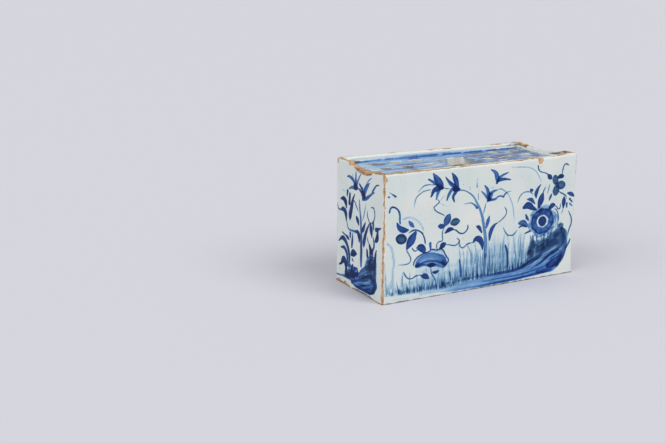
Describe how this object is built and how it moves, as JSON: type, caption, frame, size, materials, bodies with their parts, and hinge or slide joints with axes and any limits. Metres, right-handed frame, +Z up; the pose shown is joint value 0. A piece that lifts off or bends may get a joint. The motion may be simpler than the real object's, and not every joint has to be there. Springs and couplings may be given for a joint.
{
  "type": "flower brick",
  "caption": "Box-shaped tin-glazed earthenware flower vase with a recessed top panel pierced by a square opening and rows of stem holes, painted in blue.",
  "frame": {"origin": "middle of the underside, on the surface that the brick stands on", "axes": "+X along the length, to the right when facing the painted front; front towards -Y; +Z up"},
  "size_m": [0.154, 0.063, 0.085],
  "materials": {
    "painted_glaze": "glossy bluish-white tin glaze with cobalt painting, worn to the clay at its edges",
    "washed_glaze": "glossy tin glaze under a streaky cobalt wash",
    "biscuit": "bare buff earthenware, matt",
    "luting_clay": "smoothed clay coil, matt"
  },
  "bodies": {
    "root": {"front_wall": "painted_glaze", "back_wall": "painted_glaze", "left_end_wall": "painted_glaze", "right_end_wall": "painted_glaze", "base_slab": "biscuit", "top_panel": "washed_glaze", "corner_coils": "luting_clay", "base_coils": "luting_clay", "ledge_coils": "luting_clay", "panel_slip": "washed_glaze"}
  },
  "joints": []
}
